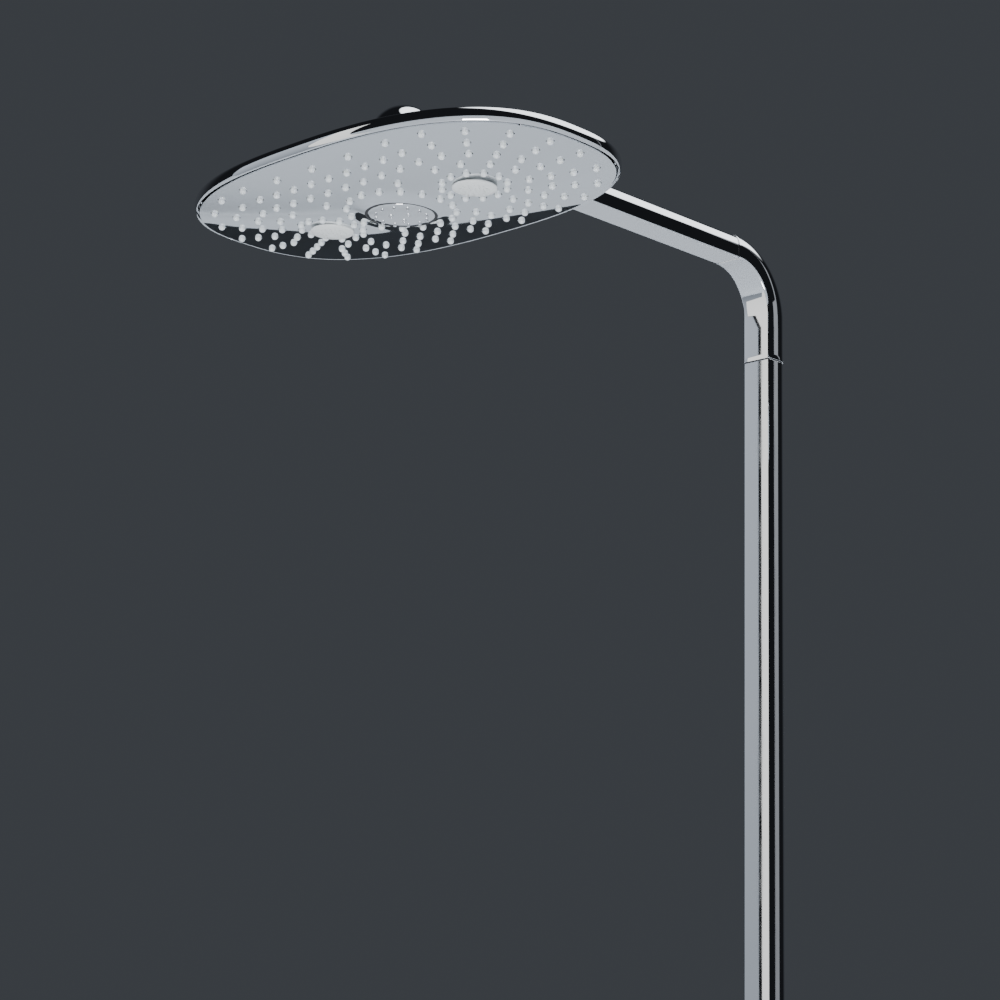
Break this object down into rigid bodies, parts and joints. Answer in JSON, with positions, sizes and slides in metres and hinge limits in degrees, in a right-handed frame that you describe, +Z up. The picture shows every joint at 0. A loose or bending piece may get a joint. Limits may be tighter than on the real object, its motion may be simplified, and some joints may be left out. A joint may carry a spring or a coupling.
{
  "type": "rainfall shower column",
  "caption": "Wall-held chrome shower column: flat oval rain head on a ball joint, swivelling horizontal arm, flat-fronted riser tube and thermostatic bar mixer.",
  "frame": {"origin": "middle of the back face of the column's wall bracket, on the wall plane", "axes": "+Z up along the column, +Y into the wall, +X to the right for someone facing the wall"},
  "size_m": [0.3672, 0.6256, 1.1535],
  "materials": {
    "polished_chrome": "mirror-bright electroplated chrome",
    "clear_silicone": "translucent soft silicone, satin",
    "white_plastic": "white moulded plastic, low gloss",
    "dark_seal": "black sealing rubber and glide plastic, matt",
    "plain_brass": "machined, unplated",
    "plain_steel": "stainless, as turned and stamped",
    "pale_acetal": "moulded acetal, matt",
    "red_button": "gloss moulded plastic"
  },
  "bodies": {
    "column": {"column_tube": "polished_chrome", "column_rain_pipe": "pale_acetal", "column_jet_pipe": "pale_acetal", "swivel_bush": "pale_acetal", "swivel_glide_ring": "dark_seal", "bracket_wall_plate": "plain_steel", "bracket_screw_lower": "plain_steel", "bracket_screw_upper": "plain_steel", "bracket_rosette": "polished_chrome", "bracket_collar": "polished_chrome", "bracket_grub_screw": "plain_steel", "foot_adapter": "plain_brass", "foot_gasket": "dark_seal", "foot_nut": "polished_chrome", "mixer_body": "polished_chrome", "hot_union": "plain_brass", "hot_filter_washer": "dark_seal", "hot_union_nut": "polished_chrome", "hot_escutcheon": "polished_chrome", "cold_union": "plain_brass", "cold_filter_washer": "dark_seal", "cold_union_nut": "polished_chrome", "cold_escutcheon": "polished_chrome", "temperature_cartridge": "pale_acetal", "selector_cartridge": "pale_acetal"},
    "arm": {"elbow": "polished_chrome", "arm_seam_gasket": "dark_seal", "arm_tube": "polished_chrome", "arm_rain_pipe": "pale_acetal", "arm_jet_pipe": "pale_acetal", "arm_end_knuckle": "polished_chrome", "ball_retaining_nut": "polished_chrome", "ball_seal": "dark_seal", "swivel_spigot": "plain_brass", "swivel_seal_1": "dark_seal", "swivel_seal_2": "dark_seal"},
    "ball_ring": {"ball_slip_ring": "white_plastic"},
    "head": {"swivel_ball": "plain_brass", "head_top_shell": "polished_chrome", "spray_plate": "polished_chrome", "nozzle_mat": "clear_silicone", "centre_jet_disc": "polished_chrome", "centre_disc_seal": "dark_seal", "massage_nozzle_left": "white_plastic", "massage_nozzle_right": "white_plastic", "distributor_plate": "pale_acetal", "distributor_cover": "pale_acetal", "chamber_gasket": "dark_seal", "head_screw_1": "plain_steel", "head_screw_2": "plain_steel", "head_screw_3": "plain_steel", "head_screw_4": "plain_steel"},
    "temperature_control": {"temperature_handle": "polished_chrome", "temperature_spindle": "plain_brass", "temperature_spring": "plain_steel"},
    "temperature_stop": {"temperature_button": "red_button"},
    "selector_control": {"selector_handle": "polished_chrome", "selector_spindle": "plain_brass", "selector_spring": "plain_steel"},
    "selector_stop": {"selector_button": "polished_chrome"}
  },
  "joints": [
    {"name": "arm_swivel", "type": "hinge", "parent": "column", "child": "arm", "pos_m": [0, -0.06, 0.66], "axis": [0, 0, 1], "range_deg": [-45, 45]},
    {"name": "head_tilt_forward", "type": "hinge", "parent": "arm", "child": "ball_ring", "pos_m": [0, -0.512, 0.74], "axis": [1, 0, 0], "range_deg": [-12, 12]},
    {"name": "head_tilt_side", "type": "hinge", "parent": "ball_ring", "child": "head", "pos_m": [0, -0.512, 0.74], "axis": [0, 1, 0], "range_deg": [-12, 12]},
    {"name": "temperature_turn", "type": "hinge", "parent": "column", "child": "temperature_control", "pos_m": [0.1, -0.06, -0.352], "axis": [1, 0, 0], "range_deg": [-60, 120]},
    {"name": "temperature_stop_press", "type": "slide", "parent": "temperature_control", "child": "temperature_stop", "axis": [0, 0, -1], "range_m": [0, 0.0025], "stiffness_N_per_m": 800, "springref_m": -0.002, "deforming": ["temperature_spring"]},
    {"name": "selector_turn", "type": "hinge", "parent": "column", "child": "selector_control", "pos_m": [-0.1, -0.06, -0.352], "axis": [1, 0, 0], "range_deg": [-90, 90]},
    {"name": "selector_stop_press", "type": "slide", "parent": "selector_control", "child": "selector_stop", "axis": [0, 0, -1], "range_m": [0, 0.0025], "stiffness_N_per_m": 800, "springref_m": -0.002, "deforming": ["selector_spring"]}
  ]
}
